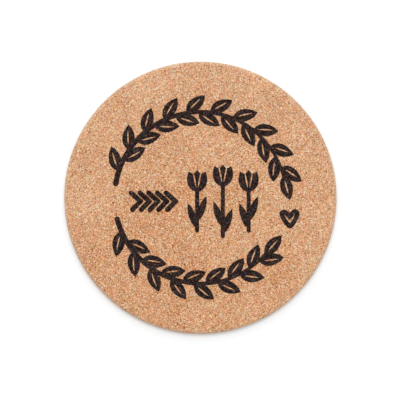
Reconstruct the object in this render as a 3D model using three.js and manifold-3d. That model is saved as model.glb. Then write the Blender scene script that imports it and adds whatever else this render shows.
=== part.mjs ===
// A round coaster of pressed cork with a dark design printed on its top face.
// Millimetres, +Z up. The origin is the middle of the underside, and +Y is the top of the design.

import * as THREE from 'three';
import { mergeVertices } from 'three/addons/utils/BufferGeometryUtils.js';
import Module from 'manifold-3d';

const wasm = await Module();
wasm.setup();

// Cork disc
const DISC_DIAMETER = 100;
const DISC_THICKNESS = 5;
const EDGE_RADIUS = 1.4; // sanded round, on the upper and the lower edge

// Printed film
const INK_THICKNESS = 0.1;
const PRINT_GAP = 1.5; // least bare cork between one motif and the next

// Row of chevrons that point to +X
const CHEVRON_COUNT = 5;
const CHEVRON_STROKE = 1.82;
const CHEVRON_GAP = 0.3; // bare line between two chevrons, square to their upper arms
const CHEVRON_UPPER_RUN = 3.45; // from the end of the upper arm to the bend, along X
const CHEVRON_LOWER_RUN = 2.95; // the same for the lower arm, which is steeper
const CHEVRON_RISE = 3.05; // from the bend to the end of an arm, along Y
const CHEVRON_TIP_RADIUS = 0.75;
const ROW_START = -26.28; // left end of the row
const ROW_LEVEL = -1.3; // height of the bends above the middle of the disc

// Three upright tulips to the right of the chevrons
const TULIP_COUNT = 3;
const TULIP_INSET = 3.2; // from the row of chevrons to the first tulip
const TULIP_GAP = 2; // between neighbouring tulips
const STALK_LENGTH = 15.5;
const MIDDLE_STALK_RISE = 4; // what the stalk of the middle tulip has more
const STALK_WIDTH = 1.5;
const PETAL_LENGTH = 8.2;
const PETAL_WIDTH = 4.2;
const PETAL_LEAN = 22; // degrees, of the two outer petals
const PETAL_LINE_WIDTH = 0.55; // bare line between two petals
const PETAL_LINE_START = 1.6; // from the foot of the petals to that line
const BLADE_LENGTH = 10;
const BLADE_WIDTH = 2.7;
const BLADE_LEAN = 20; // degrees
const BLADE_START = 1.4; // height of the lower blade above the foot of the stalk
const BLADE_STEP = 2.6; // from the lower blade up to the other one

// Two leafy sprigs that make an open wreath round the row
const LEAF_LENGTH = 9.4;
const LEAF_WIDTH = 4.6;
const LEAF_LEAN = 40; // degrees, from the stem
const LEAF_PITCH = 8.6; // along the stem, between leaves on one side
const LEAF_SWEEP = 0.9; // how far the point of a leaf is bent sideways
const RIB_WIDTH = 0.55; // bare line along the middle of a leaf
const RIB_INSET = 2; // from the ends of a leaf to the ends of its bare line
const STEM_ROOT_WIDTH = 2;
const STEM_TIP_WIDTH = 1.1;

// Outlined heart, in the gap between the tips of the sprigs
const HEART_STROKE = 1.68;
const HEART_LOBE_SPACING = 4;
const HEART_TIP_DROP = 3.45; // from the middles of the lobes to the lower point of the opening
const HEART_TIP_RADIUS = 1.35; // of the outline round that point
const HEART_SIDE_BULGE = 0.2; // how far the sides bow out
const HEART_WEDGE_DROP = 1.92; // from the middles of the lobes to the wedge in the opening
const HEART_WEDGE_RADIUS = 0.9; // of the end of that wedge
const HEART_NOTCH_LEAN = 43; // degrees, of the outline where it dips between the lobes
const HEART_BEARING = -13.2; // degrees, seen from the middle of the disc
const HEART_OUTSET = 2.16; // outwards from the middle line of the sprigs
const HEART_TILT = 2; // degrees

// Steps along the curves
const DISC_SIDES = 128;
const EDGE_STEPS = 3;
const LEAF_STEPS = 6;
const ARC_STEPS = 4;
const STEM_STEPS = 28;
const WELD = 1e-4;

// Handles of the two curves of a leaf, as shares of its length and of its width
const LEAF_NEAR_HANDLE = 0.22;
const LEAF_FAR_HANDLE = 0.68;
const LEAF_SIDE_HANDLE = 2 / 3;

const { degToRad, lerp } = THREE.MathUtils;

const corkMaterial = () => new THREE.MeshStandardMaterial({ color: 0xd5a37d, roughness: 0.9, metalness: 0 });
const inkMaterial = () => new THREE.MeshStandardMaterial({ color: 0x342926, roughness: 0.7, metalness: 0 });

// Joining and cutting

function toSolid(geometry) {
  const bare = geometry.clone();
  bare.deleteAttribute('normal');
  bare.deleteAttribute('uv');
  const welded = mergeVertices(bare, WELD);
  return new wasm.Manifold(new wasm.Mesh({
    numProp: 3,
    vertProperties: welded.attributes.position.array,
    triVerts: new Uint32Array(welded.index.array),
  }));
}

function join(geometries, cuts = []) {
  const whole = geometries.map(toSolid).reduce((joined, next) => joined.add(next));
  const solid = cuts.map(toSolid).reduce((rest, cut) => rest.subtract(cut), whole);
  const { vertProperties, triVerts } = solid.getMesh();
  const geometry = new THREE.BufferGeometry();
  geometry.setAttribute('position', new THREE.BufferAttribute(vertProperties.slice(), 3));
  geometry.setIndex(new THREE.BufferAttribute(triVerts.slice(), 1));
  geometry.computeVertexNormals();
  return geometry;
}

// Printed shapes

function film(shape, curveSegments) {
  return new THREE.ExtrudeGeometry(shape, { depth: INK_THICKNESS, bevelEnabled: false, curveSegments });
}

function place(geometry, x, y, turn) {
  return geometry.rotateZ(turn).translate(x, y, 0);
}

// A leaf along +X, whose point is bent sideways by sweep
function leafOutline(path, start, end, width, sweep) {
  const near = lerp(start, end, LEAF_NEAR_HANDLE);
  const far = lerp(start, end, LEAF_FAR_HANDLE);
  const side = LEAF_SIDE_HANDLE * width;
  path.moveTo(start, 0);
  path.bezierCurveTo(near, -side, far, sweep / 2 - side, end, sweep);
  path.bezierCurveTo(far, sweep / 2 + side, near, side, start, 0);
  return path;
}

// A printed piece lies face to face on the top of the disc
function printed(name, geometry, x = 0, y = 0, turn = 0) {
  const mesh = new THREE.Mesh(geometry, inkMaterial());
  mesh.name = name;
  mesh.position.set(x, y, DISC_THICKNESS);
  mesh.rotation.z = turn;
  return mesh;
}

// Chevrons: the bend lies at the origin, and both arms end round

const upperAngle = Math.atan2(CHEVRON_RISE, CHEVRON_UPPER_RUN);
const lowerAngle = Math.atan2(CHEVRON_RISE, CHEVRON_LOWER_RUN);
const chevronPitch = (CHEVRON_STROKE + CHEVRON_GAP) / Math.sin(upperAngle);
const chevronHalf = CHEVRON_STROKE / 2;
const chevronMitre = new THREE.Vector2(
  Math.cos(upperAngle) + Math.cos(lowerAngle),
  Math.sin(lowerAngle) - Math.sin(upperAngle),
).divideScalar(Math.sin(upperAngle + lowerAngle)); // outer corner of the bend, in half strokes
const chevronTip = chevronMitre.clone().multiplyScalar(chevronHalf - CHEVRON_TIP_RADIUS);
const rowReach = CHEVRON_RISE + chevronHalf;
const firstBend = ROW_START + chevronHalf + Math.max(CHEVRON_UPPER_RUN, CHEVRON_LOWER_RUN);
const rowEnd = firstBend + (CHEVRON_COUNT - 1) * chevronPitch + chevronTip.x + CHEVRON_TIP_RADIUS;

function chevronShape() {
  const upper = Math.PI / 2 - upperAngle;
  const lower = lowerAngle - Math.PI / 2;
  const shape = new THREE.Shape();
  shape.absarc(chevronTip.x, chevronTip.y, CHEVRON_TIP_RADIUS, lower, upper, false);
  shape.absarc(-CHEVRON_UPPER_RUN, CHEVRON_RISE, chevronHalf, upper, Math.PI + upper, false);
  shape.lineTo(-chevronHalf * chevronMitre.x, -chevronHalf * chevronMitre.y);
  shape.absarc(-CHEVRON_LOWER_RUN, -CHEVRON_RISE, chevronHalf, Math.PI + lower, 2 * Math.PI + lower, false);
  return shape;
}

function chevrons() {
  return Array.from({ length: CHEVRON_COUNT }, (_, index) => {
    const geometry = film(chevronShape(), ARC_STEPS);
    return printed(`chevron_${index + 1}`, geometry, firstBend + index * chevronPitch, ROW_LEVEL);
  });
}

// Tulips: the foot of the stalk lies at the origin, and side is that of the lower blade

function tulip(stalkLength, side) {
  const half = STALK_WIDTH / 2;
  const head = stalkLength - half;
  const stalk = new THREE.Shape();
  stalk.absarc(0, half, half, Math.PI, 2 * Math.PI, false);
  stalk.lineTo(half, stalkLength);
  stalk.lineTo(-half, stalkLength);
  const upright = (start, end, width, y, lean) => {
    const shape = leafOutline(new THREE.Shape(), start, end, width, 0);
    return place(film(shape, LEAF_STEPS), 0, y, Math.PI / 2 + degToRad(lean));
  };
  const petal = (lean) => upright(0, PETAL_LENGTH, PETAL_WIDTH, head, lean);
  const petalLine = (lean) => upright(PETAL_LINE_START, PETAL_LENGTH, PETAL_LINE_WIDTH, head, lean);
  const blade = (y, lean) => upright(0, BLADE_LENGTH, BLADE_WIDTH, y, lean);
  const pieces = [
    film(stalk, ARC_STEPS),
    petal(-PETAL_LEAN),
    petal(0),
    petal(PETAL_LEAN),
    blade(BLADE_START, side * BLADE_LEAN),
    blade(BLADE_START + BLADE_STEP, -side * BLADE_LEAN),
  ];
  return join(pieces, [petalLine(-PETAL_LEAN / 2), petalLine(PETAL_LEAN / 2)]);
}

const tulipBox = new THREE.Box3().setFromBufferAttribute(tulip(STALK_LENGTH, 1).attributes.position);
const tulipReach = Math.max(-tulipBox.min.x, tulipBox.max.x);
const tulipPitch = 2 * tulipReach + TULIP_GAP;
const firstTulip = rowEnd + TULIP_INSET + tulipReach;
const tulipsEnd = firstTulip + (TULIP_COUNT - 1) * tulipPitch + tulipReach;
const tulipsReach = Math.abs(ROW_LEVEL) + tulipBox.max.y / 2;

function tulips() {
  const middle = (TULIP_COUNT - 1) / 2;
  return Array.from({ length: TULIP_COUNT }, (_, index) => {
    const rise = index === middle ? MIDDLE_STALK_RISE : 0;
    const geometry = tulip(STALK_LENGTH + rise, index % 2 ? -1 : 1);
    const foot = ROW_LEVEL - (tulipBox.max.y + rise) / 2;
    return printed(`tulip_${index + 1}`, geometry, firstTulip + index * tulipPitch, foot);
  });
}

// Heart: a stroke of even width round an opening with bowed sides and a wedge between the lobes

function heartShape() {
  const lobe = new THREE.Vector2(HEART_LOBE_SPACING / 2, HEART_TIP_DROP / 2);
  const tip = new THREE.Vector2(0, lobe.y - HEART_TIP_DROP);
  const chord = lobe.clone().sub(tip);
  const bow = (chord.lengthSq() / 4 + HEART_SIDE_BULGE ** 2) / (2 * HEART_SIDE_BULGE);
  const inwards = new THREE.Vector2(-chord.y, chord.x).normalize();
  const pivot = tip.clone().add(lobe).divideScalar(2).addScaledVector(inwards, bow - HEART_SIDE_BULGE);
  const outside = bow + HEART_STROKE;
  const point = new THREE.Vector2(0, pivot.y - Math.sqrt((outside - HEART_TIP_RADIUS) ** 2 - pivot.x ** 2));
  const wedge = new THREE.Vector2(0, lobe.y - HEART_WEDGE_DROP + HEART_WEDGE_RADIUS);
  const flank = lobe.clone().sub(wedge);
  const tipAngle = tip.clone().sub(pivot).angle();
  const pointAngle = point.clone().sub(pivot).angle();
  const lobeAngle = lobe.clone().sub(pivot).angle();
  const wedgeAngle = flank.angle() - Math.acos(HEART_WEDGE_RADIUS / flank.length());
  const notchAngle = degToRad(HEART_NOTCH_LEAN);
  const notch = lobe.y + (HEART_STROKE - lobe.x * Math.sin(notchAngle)) / Math.cos(notchAngle);
  const lobeEnd = 5 * Math.PI / 2 + notchAngle;
  const mirrored = (angle) => 3 * Math.PI - angle; // the same place on the left half
  const shape = new THREE.Shape();
  shape.absarc(pivot.x, pivot.y, outside, pointAngle, lobeAngle, false);
  shape.absarc(lobe.x, lobe.y, HEART_STROKE, lobeAngle, lobeEnd, false);
  shape.lineTo(0, notch);
  shape.absarc(-lobe.x, lobe.y, HEART_STROKE, mirrored(lobeEnd), mirrored(lobeAngle), false);
  shape.absarc(-pivot.x, pivot.y, outside, mirrored(lobeAngle), mirrored(pointAngle), false);
  shape.absarc(point.x, point.y, HEART_TIP_RADIUS, mirrored(pointAngle), pointAngle, false);
  const opening = new THREE.Path();
  opening.absarc(pivot.x, pivot.y, bow, tipAngle, lobeAngle, false);
  opening.absarc(wedge.x, wedge.y, HEART_WEDGE_RADIUS, wedgeAngle, -Math.PI - wedgeAngle, true);
  opening.lineTo(-lobe.x, lobe.y);
  opening.absarc(-pivot.x, pivot.y, bow, mirrored(lobeAngle), mirrored(tipAngle), false);
  shape.holes.push(opening);
  return shape;
}

const heartBearing = degToRad(HEART_BEARING);
const heartReach = Math.max(...heartShape().getPoints(ARC_STEPS).map(({ y }) => Math.abs(y)));

// Sprigs: their stems run round the middle of the disc, clear of the tulips

const leafOut = LEAF_LENGTH * Math.sin(degToRad(LEAF_LEAN));
const leafAlong = LEAF_LENGTH * Math.cos(degToRad(LEAF_LEAN));
const wreathInside = Math.hypot(tulipsEnd, tulipsReach) + PRINT_GAP;
const wreathRadius = leafOut + Math.sqrt(wreathInside ** 2 - leafAlong ** 2);
const printRadius = Math.hypot(wreathRadius + leafOut, leafAlong) + LEAF_SWEEP;

function onWreath(bearing, radius = wreathRadius) {
  return new THREE.Vector2(radius * Math.cos(bearing), radius * Math.sin(bearing));
}

function stem(root, end) {
  const edge = (side) => Array.from({ length: STEM_STEPS + 1 }, (_, step) => {
    const share = step / STEM_STEPS;
    const half = lerp(STEM_ROOT_WIDTH, STEM_TIP_WIDTH, share) / 2;
    return onWreath(lerp(root, end, share), wreathRadius + side * half);
  });
  return film(new THREE.Shape([...edge(1), ...edge(-1).reverse()]), ARC_STEPS);
}

function rootCap(root) {
  const shape = new THREE.Shape();
  shape.absarc(0, 0, STEM_ROOT_WIDTH / 2, 0, 2 * Math.PI, false);
  const { x, y } = onWreath(root);
  return place(film(shape, ARC_STEPS), x, y, 0);
}

// side is 1 outside the stem, -1 inside it, and 0 for the leaf that ends it
function sprigLeaf(bearing, growth, side) {
  const sweep = side * growth * LEAF_SWEEP;
  const shape = leafOutline(new THREE.Shape(), 0, LEAF_LENGTH, LEAF_WIDTH, sweep);
  const rib = leafOutline(new THREE.Path(), RIB_INSET, LEAF_LENGTH - RIB_INSET, RIB_WIDTH, sweep / 2);
  shape.holes.push(rib);
  const turn = bearing + growth * (Math.PI / 2 - side * degToRad(LEAF_LEAN));
  const { x, y } = onWreath(bearing);
  return place(film(shape, LEAF_STEPS), x, y, turn);
}

// Bearings in radians: a sprig grows from its root to its tip
function sprig(name, root, tip) {
  const growth = Math.sign(tip - root);
  const end = tip - growth * LEAF_LENGTH / wreathRadius;
  const lap = growth * STEM_TIP_WIDTH / wreathRadius;
  const step = growth * LEAF_PITCH / 2 / wreathRadius;
  const leafCount = Math.floor((end - root) / step) - 1;
  const sideLeaves = Array.from({ length: leafCount }, (_, index) => {
    return sprigLeaf(end - (index + 1) * step, growth, index % 2 ? -1 : 1);
  });
  const endLeaf = sprigLeaf(end - lap, growth, 0);
  return printed(name, join([stem(root, end), rootCap(root), endLeaf, ...sideLeaves]));
}

function sprigs() {
  const rootReach = rowReach + PRINT_GAP + STEM_ROOT_WIDTH / 2;
  const upperRoot = Math.PI - Math.asin((ROW_LEVEL + rootReach) / wreathRadius);
  const lowerRoot = -Math.PI - Math.asin((ROW_LEVEL - rootReach) / wreathRadius);
  const heartSpan = (heartReach + PRINT_GAP) / wreathRadius;
  return [
    sprig('upper_sprig', upperRoot, heartBearing + heartSpan),
    sprig('lower_sprig', lowerRoot, heartBearing - heartSpan),
  ];
}

// The heart lies outside the sprigs' middle line, between their tips
function heart() {
  const { x, y } = onWreath(heartBearing, wreathRadius + HEART_OUTSET);
  return printed('heart', film(heartShape(), ARC_STEPS), x, y, degToRad(HEART_TILT));
}

// Cork disc: its flat top has a ring of corners where the print ends
function corkDisc() {
  const round = Math.min(EDGE_RADIUS, DISC_THICKNESS / 2);
  const flat = DISC_DIAMETER / 2 - round;
  const profile = new THREE.Path();
  profile.moveTo(0, 0);
  profile.lineTo(flat, 0);
  profile.absarc(flat, round, round, -Math.PI / 2, 0, false);
  profile.absarc(flat, DISC_THICKNESS - round, round, 0, Math.PI / 2, false);
  profile.lineTo(Math.min(printRadius, flat), DISC_THICKNESS);
  profile.lineTo(0, DISC_THICKNESS);
  const geometry = new THREE.LatheGeometry(profile.getPoints(EDGE_STEPS), DISC_SIDES);
  const mesh = new THREE.Mesh(geometry.rotateX(Math.PI / 2), corkMaterial());
  mesh.name = 'cork_disc';
  return mesh;
}

const coaster = new THREE.Group();
coaster.add(corkDisc(), ...sprigs(), ...tulips(), ...chevrons(), heart());

export default coaster;
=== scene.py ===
"""A round cork coaster with a dark print: the finish of each piece, and the stage that shows it."""
import math

import bmesh
import bpy
from bpy.props import FloatProperty, FloatVectorProperty, IntProperty, PointerProperty
from mathutils import Color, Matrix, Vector, noise


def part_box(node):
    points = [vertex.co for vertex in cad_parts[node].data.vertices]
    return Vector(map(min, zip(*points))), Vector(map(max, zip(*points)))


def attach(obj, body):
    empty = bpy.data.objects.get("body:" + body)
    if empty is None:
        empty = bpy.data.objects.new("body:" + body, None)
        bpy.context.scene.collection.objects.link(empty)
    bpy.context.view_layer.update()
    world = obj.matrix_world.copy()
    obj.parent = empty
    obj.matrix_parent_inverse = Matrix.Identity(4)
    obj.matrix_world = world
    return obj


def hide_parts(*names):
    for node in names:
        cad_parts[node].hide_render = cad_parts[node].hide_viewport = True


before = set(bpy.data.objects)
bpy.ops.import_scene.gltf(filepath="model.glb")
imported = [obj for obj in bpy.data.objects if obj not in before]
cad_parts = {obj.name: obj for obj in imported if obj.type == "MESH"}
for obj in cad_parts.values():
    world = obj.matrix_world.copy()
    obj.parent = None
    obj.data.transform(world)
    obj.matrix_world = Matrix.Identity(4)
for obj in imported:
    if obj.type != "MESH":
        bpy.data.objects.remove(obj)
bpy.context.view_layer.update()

bl_info = {
    "name": "Cork Coaster",
    "version": (1, 0, 0),
    "blender": (4, 5, 0),
    "location": "View3D > Sidebar > Coaster",
    "description": "Pressed cork disc with a printed wreath, tulips, chevrons and a heart",
    "category": "Add Mesh",
}

MM = 0.001

# The photograph's frame and where the disc lies in it, in pixels
FRAME_SIDE = 400.0
DISC_CENTRE_PX = Vector((200.42, 197.73))
DISC_RADIUS_PX = 136.17

DISC_LOW, DISC_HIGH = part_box("cork_disc")
DISC_RADIUS = (DISC_HIGH.x - DISC_LOW.x) / 2
DISC_TOP = DISC_HIGH.z

# Vertices closer than this are one
WELD = 1e-6

# What the studio light makes of a flat white face, and the level of white on a screen
LIGHT_LEVEL = 1.25
SCREEN_WHITE = 255


def shown_as(*levels):
    """The linear colour that the studio light shows as these screen levels of red, green and blue."""
    screen = Color([level / SCREEN_WHITE for level in levels])
    return tuple(screen.from_srgb_to_scene_linear() / LIGHT_LEVEL)


def opaque(colour):
    """The colour with full alpha, as colour sockets take it."""
    return (*colour, 1.0)


def length_property(name, description, default):
    """A size that a user can change, in metres."""
    return FloatProperty(
        name=name,
        description=description,
        default=default,
        min=0.0,
        precision=5,
        subtype="DISTANCE",
        unit="LENGTH",
    )


def colour_property(name, description, default):
    """A colour that a user can change."""
    return FloatVectorProperty(
        name=name, description=description, default=default, min=0.0, max=2.0, size=3, subtype="COLOR"
    )


# This many cells keep the disc under 200,000 triangles
MOST_CELLS = 205


class CorkSettings(bpy.types.PropertyGroup):
    """Sizes and colours of the pressed cork."""

    edge_radius: length_property("Edge radius", "Rounding of the disc's upper and lower edge", 1.4 * MM)
    mesh_cells: IntProperty(
        name="Mesh cells",
        description="Quads across each face of the disc",
        default=200,
        min=16,
        max=MOST_CELLS,
    )
    large_granule: length_property("Large granules", "Width of a large cork granule", 1.1 * MM)
    small_granule: length_property("Small granules", "Width of a small cork granule", 0.3 * MM)
    relief_depth: length_property("Relief depth", "How far granules lie below the face", 0.07 * MM)
    pit_depth: length_property("Pit depth", "Depth of the holes where a granule came out", 0.3 * MM)
    bark: colour_property("Bark specks", "Darkest specks in the cork", shown_as(130, 72, 36))
    brown: colour_property("Brown granules", "Dark granules", shown_as(176, 105, 58))
    tan: colour_property("Tan granules", "The commonest granules", shown_as(215, 160, 117))
    cream: colour_property("Cream granules", "The palest granules", shown_as(246, 219, 187))
    # The pale tone of dust and wear, also used for the painted sheen on the far side and at the rim
    dust_and_sheen: colour_property("Dust", "Pale tone of faded and worn cork", (0.74, 0.66, 0.52))
    warm_tint: colour_property("Warm tint", "Tint of the reddest granules", (1.135, 0.958, 0.85))
    cool_tint: colour_property("Cool tint", "Tint of the greyest granules", (0.895, 1.024, 1.07))
    rosy_tint: colour_property("Rosy tint", "Tint of the pinkest granules", (1.0, 0.92, 1.08))
    olive_tint: colour_property("Olive tint", "Tint of the greenest granules", (1.0, 1.07, 0.92))


class InkSettings(bpy.types.PropertyGroup):
    """Sizes and colour of the print."""

    mesh_step: length_property("Mesh step", "Width of the quads that the print is cut into", 0.45 * MM)
    soak: length_property("Soak", "How far the ink reaches down into the pores", 0.15 * MM)
    relief_depth: length_property("Relief depth", "How far the film follows the granules", 0.03 * MM)
    ragged: length_property("Ragged edge", "How far the edge of the ink strays", 0.06 * MM)
    colour: colour_property("Ink", "Colour of the ink where it lies thick", shown_as(28, 20, 18))
    thin: colour_property("Thin ink", "Colour of the ink on the highest granules", shown_as(80, 70, 69))


class StageSettings(bpy.types.PropertyGroup):
    """Floor, light and camera."""

    floor_side: length_property("Floor", "Side of the square floor", 40.0)
    floor_colour: colour_property("Floor colour", "Colour of the floor", (0.9, 0.924, 0.938))
    dome_strength: FloatProperty(
        name="Dome", description="Strength of the light from all round", default=0.875, min=0.0
    )
    dome_lean: FloatProperty(
        name="Dome lean",
        description="How much stronger the far side of that light is",
        default=0.5,
        subtype="FACTOR",
    )
    key_power: FloatProperty(
        name="Key light",
        description="Power of the soft lamp",
        default=0.768,
        min=0.0,
        subtype="POWER",
        unit="POWER",
    )
    key_size: length_property("Key size", "Diameter of the soft lamp", 0.158)
    key_distance: length_property("Key distance", "From the disc to the soft lamp", 0.45)
    key_height: FloatProperty(
        name="Key height",
        description="Height of the lamp above the floor, as an angle",
        default=math.radians(81),
        subtype="ANGLE",
        unit="ROTATION",
    )
    lens: FloatProperty(
        name="Lens",
        description="Focal length of the camera",
        default=135.0,
        subtype="DISTANCE_CAMERA",
        unit="CAMERA",
    )


# How far apart the nodes of a tree are laid out, in the editor's units
NODE_SPACING = 200


def add(tree, kind, inputs=None, **settings):
    """Adds a node with its settings, and fills its inputs with values or links."""
    made = tree.nodes.new(kind)
    made.location.x = NODE_SPACING * len(tree.nodes)
    for setting, value in settings.items():
        setattr(made, setting, value)
    for name, value in (inputs or {}).items():
        plug(tree, made.inputs[name], value)
    return made


def plug(tree, socket, value):
    """Links an output to an input, or sets the input's value."""
    if isinstance(value, bpy.types.NodeSocket):
        tree.links.new(value, socket)
    else:
        socket.default_value = value


def maths(tree, operation, *values):
    """The output of a Math node."""
    made = add(tree, "ShaderNodeMath", dict(enumerate(values)), operation=operation)
    return made.outputs["Value"]


def ramp(tree, value, low, high, to_low=0.0, to_high=1.0):
    """A smooth step of a value from one range to another."""
    made = add(
        tree,
        "ShaderNodeMapRange",
        {"Value": value, "From Min": low, "From Max": high, "To Min": to_low, "To Max": to_high},
        interpolation_type="SMOOTHSTEP",
    )
    return made.outputs["Result"]


def mixed(tree, factor, first, second):
    """Two values mixed by a factor."""
    made = add(tree, "ShaderNodeMix", {"Factor": factor, "A": first, "B": second}, data_type="FLOAT")
    return made.outputs["Result"]


def speckle(tree, position, grain, detail=2.0):
    """Noise with features about one grain wide."""
    made = add(tree, "ShaderNodeTexNoise", {"Vector": position, "Scale": 1 / grain, "Detail": detail})
    return made.outputs["Fac"]


def uneven(tree, position, grain, reach):
    """The position, nudged by noise so that what lies there gets uneven outlines."""
    ripple = add(tree, "ShaderNodeTexNoise", {"Vector": position, "Scale": 1 / grain, "Detail": 1.0})
    nudge = add(
        tree,
        "ShaderNodeVectorMath",
        {0: ripple.outputs["Color"], 1: (2 * reach,) * 3, 2: position},
        operation="MULTIPLY_ADD",
    )
    return nudge.outputs["Vector"]


# How far the outlines of granules stray, as a share of a small one
GRANULE_STRAY = 0.25


def granule_place(tree, position, cork):
    """The position, nudged so that the cork's granules get uneven outlines."""
    return uneven(tree, position, cork.large_granule, cork.small_granule * GRANULE_STRAY)


def granules(tree, position, size):
    """Three random values of each granule, and the distance to its seam in metres."""
    cell = {"Vector": position, "Scale": 1 / size}
    picks = add(tree, "ShaderNodeTexVoronoi", cell, feature="F1")
    border = add(tree, "ShaderNodeTexVoronoi", cell, feature="DISTANCE_TO_EDGE")
    split = add(tree, "ShaderNodeSeparateXYZ", {"Vector": picks.outputs["Color"]})
    seam = maths(tree, "MULTIPLY", border.outputs["Distance"], size)
    return split.outputs["X"], split.outputs["Y"], split.outputs["Z"], seam


# Spots run from this share of the given width to one whole width more
SMALLEST_SPOT = 0.5


def spots(tree, position, spacing, width, share, core=0.4):
    """A mask of scattered round spots: 1 in the core, which is a share of the spot, and 0 outside it."""
    cell = add(tree, "ShaderNodeTexVoronoi", {"Vector": position, "Scale": 1 / spacing}, feature="F1")
    split = add(tree, "ShaderNodeSeparateXYZ", {"Vector": cell.outputs["Color"]})
    chosen = maths(tree, "LESS_THAN", split.outputs["X"], share)
    radius = width / spacing / 2
    size = maths(tree, "ADD", split.outputs["Y"], SMALLEST_SPOT)
    reach = maths(tree, "DIVIDE", cell.outputs["Distance"], size)
    round_mask = ramp(tree, reach, radius * core, radius, 1.0, 0.0)
    return maths(tree, "MULTIPLY", chosen, round_mask)


# Spacing, width and share of the holes that lost granules leave
PIT_SPACING = 3.2 * MM
PIT_WIDTH = 1.1 * MM
PIT_SHARE = 0.22


def relief_group(name, cork, depth, pit_depth, direction=None):
    """Geometry nodes that sink a surface, by its normal or one direction, where the cork is low."""
    group = bpy.data.node_groups.new(name, "GeometryNodeTree")
    group.interface.new_socket("Geometry", in_out="INPUT", socket_type="NodeSocketGeometry")
    group.interface.new_socket("Geometry", in_out="OUTPUT", socket_type="NodeSocketGeometry")
    start = group.nodes.new("NodeGroupInput")
    end = group.nodes.new("NodeGroupOutput")
    position = add(group, "GeometryNodeInputPosition").outputs["Position"]
    upwards = direction or add(group, "GeometryNodeInputNormal").outputs["Normal"]
    ragged = granule_place(group, position, cork)
    _, _, level, _ = granules(group, ragged, cork.large_granule)
    sunk = maths(group, "MULTIPLY", level, -depth)
    pits = spots(group, ragged, PIT_SPACING, PIT_WIDTH, PIT_SHARE)
    total = maths(group, "MULTIPLY_ADD", pits, -pit_depth, sunk)
    offset = add(group, "ShaderNodeVectorMath", {0: upwards, "Scale": total}, operation="SCALE")
    moved = add(
        group,
        "GeometryNodeSetPosition",
        {"Geometry": start.outputs["Geometry"], "Offset": offset.outputs["Vector"]},
    )
    group.links.new(moved.outputs["Geometry"], end.inputs["Geometry"])
    return group


def with_relief(mesh, group):
    """The mesh as the relief nodes leave it."""
    carrier = bpy.data.objects.new("relief_carrier", mesh)
    bpy.context.scene.collection.objects.link(carrier)
    carrier.modifiers.new("Relief", "NODES").node_group = group
    evaluated = carrier.evaluated_get(bpy.context.evaluated_depsgraph_get())
    shaped = bpy.data.meshes.new_from_object(evaluated)
    bpy.data.objects.remove(carrier)
    bpy.data.meshes.remove(mesh)
    return shaped


def colour_scale(tree, value, stops):
    """A value turned to a colour by a scale of (place, colour) stops, from the one at 0 to the one at 1."""
    scale = add(tree, "ShaderNodeValToRGB", {"Fac": value})
    elements = scale.color_ramp.elements
    for place, _ in stops[1:-1]:
        elements.new(place)
    for element, (place, colour) in zip(elements, stops):
        element.position = place
        element.color = opaque(colour)
    return scale.outputs["Color"]


def mixed_colour(tree, factor, first, second, blend_type="MIX"):
    """Two colours mixed by a factor."""
    made = add(tree, "ShaderNodeMix", data_type="RGBA", blend_type=blend_type)
    inputs = {socket.name: socket for socket in made.inputs if socket.type == "RGBA"}
    plug(tree, made.inputs["Factor"], factor)
    plug(tree, inputs["A"], first)
    plug(tree, inputs["B"], second)
    return next(socket for socket in made.outputs if socket.type == "RGBA")


# Slivers: how far apart they could lie, their width, the share that is there, their crisp core,
# their thickness as a share of the width, and the turns that they lie at
SLIVER_SPACING = 0.75 * MM
SLIVER_WIDTH = 0.5 * MM
SLIVER_SHARE = 0.05
SLIVER_CORE = 0.6
SLIVER_THICKNESS = 0.4
SLIVER_TURNS = ((0.3, 0.2, 0.4), (0.2, 0.5, 1.5), (0.5, 0.3, 2.5))


def slivers(tree, position, turn):
    """A mask of scattered slivers that lie along one turned direction."""
    turned = add(
        tree,
        "ShaderNodeMapping",
        {"Vector": position, "Rotation": turn, "Scale": (SLIVER_THICKNESS, 1.0, 1.0)},
        vector_type="TEXTURE",
    )
    return spots(tree, turned.outputs["Vector"], SLIVER_SPACING, SLIVER_WIDTH, SLIVER_SHARE, SLIVER_CORE)


# Seams between granules, specks finer than a granule, and broad clouds of tone
SEAM_WIDTH = 0.07 * MM
FINE_GRAIN = 0.2 * MM
CLOUD_SIZE = 16 * MM

# Shares of the small granules that are bark and that are pale
BARK_SHARE = 0.1
PALE_SHARE = 0.12

# What each effect adds to the shade of the cork, which runs from bark at 0 to cream at 1
BASE_SHADE = 0.625
LARGE_SHADE = 0.06
SMALL_SHADE = 0.5
FINE_SHADE = 0.6
CLOUD_SHADE = 0.15
BARK_SHADE = -0.28
PALE_SHADE = 0.2
SLIVER_SHADE = 0.5
SEAM_SHADE = -0.1
PIT_SHADE = -0.12
BROWN_PLACE = 0.2
TAN_PLACE = 0.6

# Share of the small granules in the cork's tint and in its height, and of finer grain in the specks
SMALL_HUE = 0.35
SMALL_LEVEL = 0.5
FINE_SPECKS = 0.1

# What the seams and the finest specks add to the height, in which a granule runs from 0 to 1
SEAM_HEIGHT = -0.6
FINE_HEIGHT = 0.5

# Open pores: the grain and the stray of their outlines, their spacing, width and share
PORE_GRAIN = 0.3 * MM
PORE_STRAY = 0.1 * MM
PORE_SPACING = 1.1 * MM
PORE_WIDTH = 0.5 * MM
PORE_SHARE = 0.3

# The sockets of the grain's shader group
GRAIN_SOCKETS = (
    ("Position", "INPUT", "NodeSocketVector"),
    ("Colour", "OUTPUT", "NodeSocketColor"),
    ("Height", "OUTPUT", "NodeSocketFloat"),
    ("Pores", "OUTPUT", "NodeSocketFloat"),
    ("Specks", "OUTPUT", "NodeSocketFloat"),
    ("Tint", "OUTPUT", "NodeSocketColor"),
)


def weighted(tree, start, effects):
    """A value with each effect times its weight added to it."""
    total = start
    for effect, weight in effects:
        total = maths(tree, "MULTIPLY_ADD", effect, weight, total)
    return total


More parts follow.
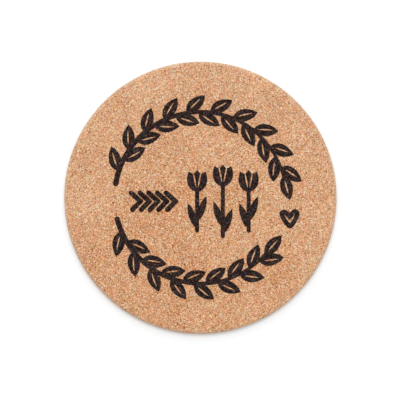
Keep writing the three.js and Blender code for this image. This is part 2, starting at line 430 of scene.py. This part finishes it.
def granule_tint(tree, cork, warmth, pinkness):
    """The tint of a granule: warm to cool, and rosy to olive."""
    tint = mixed_colour(tree, warmth, opaque(cork.warm_tint), opaque(cork.cool_tint))
    blush = mixed_colour(tree, pinkness, opaque(cork.rosy_tint), opaque(cork.olive_tint))
    return mixed_colour(tree, 1.0, tint, blush, "MULTIPLY")


def cork_grain_group(cork):
    """Shader group of pressed cork: its colour, height and pores, and its granules' specks and tint."""
    group = bpy.data.node_groups.new("Cork grain", "ShaderNodeTree")
    for name, side, kind in GRAIN_SOCKETS:
        group.interface.new_socket(name, in_out=side, socket_type=kind)
    position = group.nodes.new("NodeGroupInput").outputs["Position"]
    end = group.nodes.new("NodeGroupOutput")

    ragged = granule_place(group, position, cork)
    large_tone, large_hue, large_level, large_seam = granules(group, ragged, cork.large_granule)
    small_tone, small_hue, small_level, small_seam = granules(group, ragged, cork.small_granule)
    seam = ramp(group, maths(group, "MINIMUM", large_seam, small_seam), 0.0, SEAM_WIDTH, 1.0, 0.0)
    fine = speckle(group, position, FINE_GRAIN)
    cloud = speckle(group, position, CLOUD_SIZE, 0.0)
    pits = spots(group, ragged, PIT_SPACING, PIT_WIDTH, PIT_SHARE)
    bark = maths(group, "LESS_THAN", small_tone, BARK_SHARE)
    pale = maths(group, "GREATER_THAN", small_tone, 1 - PALE_SHARE)
    sliver = 0.0
    for turn in SLIVER_TURNS:
        sliver = maths(group, "MAXIMUM", slivers(group, ragged, turn), sliver)

    # The first four effects run from 0 to 1, and count from their middle
    start = BASE_SHADE - (LARGE_SHADE + SMALL_SHADE + FINE_SHADE + CLOUD_SHADE) / 2
    effects = (
        (large_tone, LARGE_SHADE),
        (small_tone, SMALL_SHADE),
        (fine, FINE_SHADE),
        (cloud, CLOUD_SHADE),
        (bark, BARK_SHADE),
        (pale, PALE_SHADE),
        (sliver, SLIVER_SHADE),
        (seam, SEAM_SHADE),
        (pits, PIT_SHADE),
    )
    stops = ((0.0, cork.bark), (BROWN_PLACE, cork.brown), (TAN_PLACE, cork.tan), (1.0, cork.cream))
    tone = colour_scale(group, weighted(group, start, effects), stops)
    warmth = mixed(group, SMALL_HUE, large_hue, small_hue)
    pinkness = mixed(group, SMALL_HUE, large_level, small_level)
    tint = granule_tint(group, cork, warmth, pinkness)
    group.links.new(mixed_colour(group, 1.0, tone, tint, "MULTIPLY"), end.inputs["Colour"])
    group.links.new(granule_tint(group, cork, small_hue, small_level), end.inputs["Tint"])
    group.links.new(mixed(group, FINE_SPECKS, small_tone, fine), end.inputs["Specks"])

    level = mixed(group, SMALL_LEVEL, large_level, small_level)
    height = weighted(group, level, ((seam, SEAM_HEIGHT), (fine, FINE_HEIGHT)))
    group.links.new(height, end.inputs["Height"])
    pore_place = uneven(group, position, PORE_GRAIN, PORE_STRAY)
    pores = spots(group, pore_place, PORE_SPACING, PORE_WIDTH, PORE_SHARE)
    group.links.new(pores, end.inputs["Pores"])
    return group


def cork_grain(context):
    """The one group that the cork and the ink on it share."""
    return bpy.data.node_groups.get("Cork grain") or cork_grain_group(context.scene.coaster_cork)


def new_material(name, grain):
    """A material with its Principled shader, and the cork grain on the object's own coordinates."""
    material = bpy.data.materials.new(name)
    material.use_nodes = True
    tree = material.node_tree
    place = add(tree, "ShaderNodeTexCoord").outputs["Object"]
    cells = add(tree, "ShaderNodeGroup", node_tree=grain)
    tree.links.new(place, cells.inputs["Position"])
    return material, tree, tree.nodes["Principled BSDF"], cells, place


# Bump of the granules on cork and ink alike, and the range of heights that their roughness follows
BUMP_STRENGTH = 0.2
BUMP_DISTANCE = 0.1 * MM
HEIGHT_RANGE = (0.0, 1.2)


def finish_surface(tree, shader, height, colour, roughness, gloss):
    """Gives a shader its colour, the granules' bump, its roughness from low to high, and its gloss."""
    bump = add(
        tree, "ShaderNodeBump", {"Height": height, "Strength": BUMP_STRENGTH, "Distance": BUMP_DISTANCE}
    )
    tree.links.new(colour, shader.inputs["Base Color"])
    tree.links.new(bump.outputs["Normal"], shader.inputs["Normal"])
    tree.links.new(ramp(tree, height, *HEIGHT_RANGE, *roughness), shader.inputs["Roughness"])
    shader.inputs["Specular IOR Level"].default_value = gloss


# Roughness of the lowest and the highest cork, and its gloss
CORK_ROUGHNESS = (0.95, 0.8)
CORK_GLOSS = 0.1

# The cork is mixed paler with the distance from a point near its lower side, which is dust and painted
# sheen on the far side under the lamp, and its edge is mixed paler, which is wear and painted sheen
DISC_CENTRE = (0.0, 0.0, 0.0)
FADE_AND_SHEEN_CENTRE = (0.0, -20 * MM, 0.0)
FADE_AND_SHEEN_START = 20 * MM
FADE_AND_SHEEN_END = 72 * MM
FADE_AND_SHEEN = 0.06
# The rim is mixed pale: partly wear, partly painted sheen on the rounded edge
EDGE_WEAR_AND_SHEEN = 0.18


def distance_from(tree, place, centre):
    """The distance of a place from an upright line through a centre."""
    flat = add(tree, "ShaderNodeVectorMath", {0: place, 1: (1.0, 1.0, 0.0)}, operation="MULTIPLY")
    reach = add(
        tree, "ShaderNodeVectorMath", {0: flat.outputs["Vector"], 1: centre}, operation="DISTANCE"
    )
    return reach.outputs["Value"]


def cork_material(context):
    """Matte pressed cork, mixed paler towards its far side and at its edge: dust and wear, with painted
    sheen.
    """
    ready = bpy.data.materials.get("Pressed cork")
    if ready:
        return ready
    cork = context.scene.coaster_cork
    material, tree, shader, cells, place = new_material("Pressed cork", cork_grain(context))
    # Painted sheen and dust: paler with the distance from a point near the lower side, most on the far side
    # under the lamp
    fade_and_sheen = ramp(tree, distance_from(tree, place, FADE_AND_SHEEN_CENTRE), FADE_AND_SHEEN_START, FADE_AND_SHEEN_END, 0.0, FADE_AND_SHEEN)
    edge_start = DISC_RADIUS - cork.edge_radius
    # Pale rim: wear and painted sheen on the rounded edge
    wear_and_sheen = ramp(tree, distance_from(tree, place, DISC_CENTRE), edge_start, DISC_RADIUS, 0.0, EDGE_WEAR_AND_SHEEN)
    # How far the cork is mixed to the pale tone: dust, wear and painted sheen
    pale = maths(tree, "ADD", wear_and_sheen, fade_and_sheen)
    colour = mixed_colour(tree, pale, cells.outputs["Colour"], opaque(cork.dust_and_sheen))
    finish_surface(tree, shader, cells.outputs["Height"], colour, CORK_ROUGHNESS, CORK_GLOSS)
    return material


# Roughness of the lowest and the highest ink, and its gloss
INK_ROUGHNESS = (0.9, 0.7)
INK_GLOSS = 0.06

# How much cork shows in the pores of the ink, the specks between which the film turns thin,
# and how much more strongly than in the cork the granules' tints show in the dark ink
PORE_BARE = 0.3
INK_SPECKS = (0.45, 1.0)
INK_TINT = 4.3


def ink_material(context):
    """Flat dark ink with specks of bare cork in it."""
    ready = bpy.data.materials.get("Printing ink")
    if ready:
        return ready
    ink = context.scene.coaster_ink
    material, tree, shader, cells, _ = new_material("Printing ink", cork_grain(context))
    thin = ramp(tree, cells.outputs["Specks"], *INK_SPECKS)
    film = mixed_colour(tree, thin, opaque(ink.colour), opaque(ink.thin))
    tint = add(tree, "ShaderNodeGamma", {"Color": cells.outputs["Tint"], "Gamma": INK_TINT})
    film = mixed_colour(tree, 1.0, film, tint.outputs["Color"], "MULTIPLY")
    bare = maths(tree, "MULTIPLY", cells.outputs["Pores"], PORE_BARE)
    colour = mixed_colour(tree, bare, film, cells.outputs["Colour"])
    finish_surface(tree, shader, cells.outputs["Height"], colour, INK_ROUGHNESS, INK_GLOSS)
    return material


def place_piece(name, mesh, material, node):
    """Puts a finished mesh in the scene in the place of its CAD node."""
    mesh.name = name
    mesh.materials.clear()
    mesh.materials.append(material)
    piece = bpy.data.objects.new(name, mesh)
    bpy.context.scene.collection.objects.link(piece)
    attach(piece, "root")
    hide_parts(node)


def mesh_from(bm, name):
    """Turns a bmesh into a mesh, and frees it."""
    mesh = bpy.data.meshes.new(name)
    bm.to_mesh(mesh)
    bm.free()
    return mesh


def round_sheet(bm, cells, radius, height):
    """A round flat sheet: a square grid whose square rings are drawn out to circles."""
    sheet = bmesh.ops.create_grid(bm, x_segments=cells, y_segments=cells, size=radius)
    for vert in sheet["verts"]:
        x, y, _ = vert.co
        if abs(x) >= abs(y) and x:
            turn = math.pi / 4 * y / x
            vert.co = (x * math.cos(turn), x * math.sin(turn), height)
        elif y:
            turn = math.pi / 4 * x / y
            vert.co = (y * math.sin(turn), y * math.cos(turn), height)
        else:
            vert.co.z = height


def rim_profile(edge, steps):
    """Radius and height along the rim, from the top face over the rounded edges to the underside."""
    inner = DISC_RADIUS - edge
    shoulder = DISC_TOP - edge
    drop = DISC_TOP - 2 * edge
    shares = [i / steps for i in range(1, steps + 1)]
    turns = [math.pi / 2 * share for share in shares]
    upper = [(inner + edge * math.sin(turn), shoulder + edge * math.cos(turn)) for turn in turns]
    wall = [(DISC_RADIUS, shoulder - drop * share) for share in shares]
    lower = [(inner + edge * math.cos(turn), edge - edge * math.sin(turn)) for turn in turns]
    return upper + wall + lower


# Steps along each rounded edge of the rim, and along the wall between them
RIM_STEPS = 5


def cork_mesh(cork):
    """The closed skin of the disc: two round sheets and the rounded rim between them."""
    bm = bmesh.new()
    flat = DISC_RADIUS - cork.edge_radius
    round_sheet(bm, cork.mesh_cells, flat, DISC_TOP)
    edges = [edge for edge in bm.edges if edge.is_boundary]
    radius, height = flat, DISC_TOP
    for next_radius, next_height in rim_profile(cork.edge_radius, RIM_STEPS):
        grown = bmesh.ops.extrude_edge_only(bm, edges=edges)["geom"]
        verts = [part for part in grown if isinstance(part, bmesh.types.BMVert)]
        edges = [part for part in grown if isinstance(part, bmesh.types.BMEdge)]
        spread = next_radius / radius
        bmesh.ops.scale(bm, vec=(spread, spread, 1.0), verts=verts)
        bmesh.ops.translate(bm, vec=(0.0, 0.0, next_height - height), verts=verts)
        radius, height = next_radius, next_height
    round_sheet(bm, cork.mesh_cells, flat, 0.0)
    bmesh.ops.remove_doubles(bm, verts=bm.verts, dist=WELD)
    bmesh.ops.recalc_face_normals(bm, faces=bm.faces)
    for face in bm.faces:
        face.smooth = True
    return mesh_from(bm, "cork")


def cut_lines(bm, axis, step):
    """Cuts the sheet along evenly spaced lines across one axis."""
    places = [vert.co[axis] for vert in bm.verts]
    line = Vector((0.0, 0.0, 0.0))
    across = Vector((0.0, 0.0, 0.0))
    across[axis] = 1.0
    for index in range(math.ceil(min(places) / step), math.floor(max(places) / step) + 1):
        line[axis] = index * step
        everything = bm.verts[:] + bm.edges[:] + bm.faces[:]
        bmesh.ops.bisect_plane(bm, geom=everything, dist=WELD, plane_co=line, plane_no=across)


def is_slanted(edge):
    """Whether an edge lies along neither axis of the cut."""
    run = edge.verts[1].co - edge.verts[0].co
    return min(abs(run.x), abs(run.y)) > WELD


# A face whose normal rises more than this belongs to the upper side
UPWARD = 0.5

# Shortest edge that the cut leaves, as a share of its step, and the seed of the edge's stray
SHORTEST_EDGE = 0.1
EDGE_SEED = 7


def ink_sheet(node, ink):
    """The upper face of a printed CAD piece, cut small, with a ragged edge."""
    bm = bmesh.new()
    bm.from_mesh(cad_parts[node].data)
    bmesh.ops.remove_doubles(bm, verts=bm.verts, dist=WELD)
    bm.normal_update()
    hidden = [face for face in bm.faces if face.normal.z < UPWARD]
    bmesh.ops.delete(bm, geom=hidden, context="FACES")
    for axis in (0, 1):
        cut_lines(bm, axis, ink.mesh_step)
    slanted = [edge for edge in bm.edges if not edge.is_boundary and is_slanted(edge)]
    bmesh.ops.dissolve_edges(bm, edges=slanted)
    spare = [vert for vert in bm.verts if not vert.is_boundary and len(vert.link_edges) == 2]
    bmesh.ops.dissolve_verts(bm, verts=spare)
    bmesh.ops.dissolve_degenerate(bm, dist=ink.mesh_step * SHORTEST_EDGE, edges=bm.edges)
    loose = [edge for edge in bm.edges if edge.is_wire]
    bmesh.ops.delete(bm, geom=loose, context="EDGES")
    noise.seed_set(EDGE_SEED)
    for vert in bm.verts:
        stray = noise.noise_vector(vert.co / ink.mesh_step) * ink.ragged
        vert.co.x += stray.x
        vert.co.y += stray.y
    return mesh_from(bm, node + "_sheet")


def ink_relief(cork, ink):
    """The relief that all printed pieces share."""
    ready = bpy.data.node_groups.get("Ink relief")
    return ready or relief_group("Ink relief", cork, ink.relief_depth, ink.relief_depth, (0.0, 0.0, 1.0))


# Edges that turn more than this look sharp
SHARP_ANGLE = math.radians(40)


def ink_mesh(node, cork, ink):
    """A printed piece: a film that follows the granules and soaks into the pores."""
    sheet = ink_sheet(node, ink)
    sheet = with_relief(sheet, ink_relief(cork, ink))
    bm = bmesh.new()
    bm.from_mesh(sheet)
    bpy.data.meshes.remove(sheet)
    low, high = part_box(node)
    film = high.z - low.z
    lower = bmesh.ops.extrude_face_region(bm, geom=bm.faces[:], use_keep_orig=True)["geom"]
    verts = [part for part in lower if isinstance(part, bmesh.types.BMVert)]
    bmesh.ops.translate(bm, vec=(0.0, 0.0, -film - ink.soak), verts=verts)
    bmesh.ops.recalc_face_normals(bm, faces=bm.faces)
    for face in bm.faces:
        face.smooth = True
    mesh = mesh_from(bm, node)
    mesh.set_sharp_from_angle(angle=SHARP_ANGLE)
    return mesh


def print_pieces(context, word):
    """Makes every printed piece whose name has this word in it."""
    cork, ink = context.scene.coaster_cork, context.scene.coaster_ink
    found = sorted(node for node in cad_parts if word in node)
    if not found:
        raise RuntimeError(f"the frame has no {word}")
    for node in found:
        place_piece("printed_" + node, ink_mesh(node, cork, ink), ink_material(context), node)


class COASTER_OT_cork_disc(bpy.types.Operator):
    """Make the disc of pressed cork"""

    bl_idname = "coaster.cork_disc"
    bl_label = "Cork disc"

    def execute(self, context):
        cork = context.scene.coaster_cork
        relief = relief_group("Cork relief", cork, cork.relief_depth, cork.pit_depth)
        mesh = with_relief(cork_mesh(cork), relief)
        place_piece("pressed_cork", mesh, cork_material(context), "cork_disc")
        return {"FINISHED"}


class COASTER_OT_sprigs(bpy.types.Operator):
    """Print the two leafy sprigs"""

    bl_idname = "coaster.sprigs"
    bl_label = "Printed sprigs"

    def execute(self, context):
        print_pieces(context, "sprig")
        return {"FINISHED"}


class COASTER_OT_tulips(bpy.types.Operator):
    """Print the row of tulips"""

    bl_idname = "coaster.tulips"
    bl_label = "Printed tulips"

    def execute(self, context):
        print_pieces(context, "tulip")
        return {"FINISHED"}


class COASTER_OT_chevrons(bpy.types.Operator):
    """Print the row of chevrons"""

    bl_idname = "coaster.chevrons"
    bl_label = "Printed chevrons"

    def execute(self, context):
        print_pieces(context, "chevron")
        return {"FINISHED"}


class COASTER_OT_heart(bpy.types.Operator):
    """Print the outlined heart"""

    bl_idname = "coaster.heart"
    bl_label = "Printed heart"

    def execute(self, context):
        print_pieces(context, "heart")
        return {"FINISHED"}


class COASTER_OT_stage(bpy.types.Operator):
    """Set up the floor, the light and the camera"""

    bl_idname = "coaster.stage"
    bl_label = "Stage"

    def execute(self, context):
        stage = context.scene.coaster_stage
        make_floor(stage)
        make_light(context, stage)
        make_camera(context, stage)
        context.scene.view_settings.view_transform = "Standard"
        return {"FINISHED"}


def make_floor(stage):
    """A plain pale floor."""
    bm = bmesh.new()
    bmesh.ops.create_grid(bm, x_segments=1, y_segments=1, size=stage.floor_side / 2)
    floor = bpy.data.objects.new("floor", mesh_from(bm, "floor"))
    material = bpy.data.materials.new("Floor")
    material.use_nodes = True
    shader = material.node_tree.nodes["Principled BSDF"]
    shader.inputs["Base Color"].default_value = opaque(stage.floor_colour)
    shader.inputs["Roughness"].default_value = 1.0
    shader.inputs["Specular IOR Level"].default_value = 0.0
    floor.data.materials.append(material)
    bpy.context.scene.collection.objects.link(floor)


def make_light(context, stage):
    """Even light from all round, and a soft lamp over the far side."""
    world = bpy.data.worlds.new("Studio")
    world.use_nodes = True
    tree = world.node_tree
    direction = add(tree, "ShaderNodeTexCoord").outputs["Generated"]
    far = add(tree, "ShaderNodeSeparateXYZ", {"Vector": direction}).outputs["Y"]
    level = maths(tree, "MULTIPLY_ADD", far, stage.dome_strength * stage.dome_lean, stage.dome_strength)
    tree.nodes["Background"].inputs["Color"].default_value = (1.0, 1.0, 1.0, 1.0)
    tree.links.new(level, tree.nodes["Background"].inputs["Strength"])
    context.scene.world = world
    lamp = bpy.data.lights.new("Key", "AREA")
    lamp.shape = "DISK"
    lamp.size = stage.key_size
    lamp.energy = stage.key_power
    key = bpy.data.objects.new("key_light", lamp)
    towards = Vector((0.0, math.cos(stage.key_height), math.sin(stage.key_height)))
    key.location = towards * stage.key_distance
    key.rotation_euler = towards.to_track_quat("Z", "Y").to_euler()
    context.scene.collection.objects.link(key)


def make_camera(context, stage):
    """A camera straight above, with the disc where the photograph has it."""
    camera = bpy.data.cameras.new("Camera")
    camera.lens = stage.lens
    pixel = DISC_RADIUS / DISC_RADIUS_PX
    offset = Vector((FRAME_SIDE / 2, FRAME_SIDE / 2)) - DISC_CENTRE_PX
    widest = DISC_TOP - context.scene.coaster_cork.edge_radius
    distance = FRAME_SIDE * pixel * camera.lens / camera.sensor_width
    view = bpy.data.objects.new("camera", camera)
    view.location = (offset.x * pixel, -offset.y * pixel, widest + distance)
    context.scene.collection.objects.link(view)
    context.scene.camera = view


class COASTER_PT_panel(bpy.types.Panel):
    """The coaster's pieces and settings"""

    bl_idname = "COASTER_PT_panel"
    bl_label = "Cork coaster"
    bl_space_type = "VIEW_3D"
    bl_region_type = "UI"
    bl_category = "Coaster"

    def draw(self, context):
        scene = context.scene
        for settings in (scene.coaster_cork, scene.coaster_ink, scene.coaster_stage):
            box = self.layout.box()
            for name in settings.__annotations__:
                box.prop(settings, name)
        for operator in OPERATORS:
            self.layout.operator(operator.bl_idname)


SETTINGS = {"coaster_cork": CorkSettings, "coaster_ink": InkSettings, "coaster_stage": StageSettings}
OPERATORS = (
    COASTER_OT_cork_disc,
    COASTER_OT_sprigs,
    COASTER_OT_tulips,
    COASTER_OT_chevrons,
    COASTER_OT_heart,
    COASTER_OT_stage,
)


def register():
    """Registers the settings, the operators and the panel."""
    for name, group in SETTINGS.items():
        bpy.utils.register_class(group)
        setattr(bpy.types.Scene, name, PointerProperty(type=group))
    for operator in OPERATORS:
        bpy.utils.register_class(operator)
    bpy.utils.register_class(COASTER_PT_panel)


def unregister():
    """Removes what register added."""
    bpy.utils.unregister_class(COASTER_PT_panel)
    for operator in reversed(OPERATORS):
        bpy.utils.unregister_class(operator)
    for name, group in reversed(SETTINGS.items()):
        delattr(bpy.types.Scene, name)
        bpy.utils.unregister_class(group)


def main():
    """Builds every piece and the stage."""
    register()
    bpy.ops.coaster.cork_disc()
    bpy.ops.coaster.sprigs()
    bpy.ops.coaster.tulips()
    bpy.ops.coaster.chevrons()
    bpy.ops.coaster.heart()
    bpy.ops.coaster.stage()


if __name__ == "__main__":
    main()
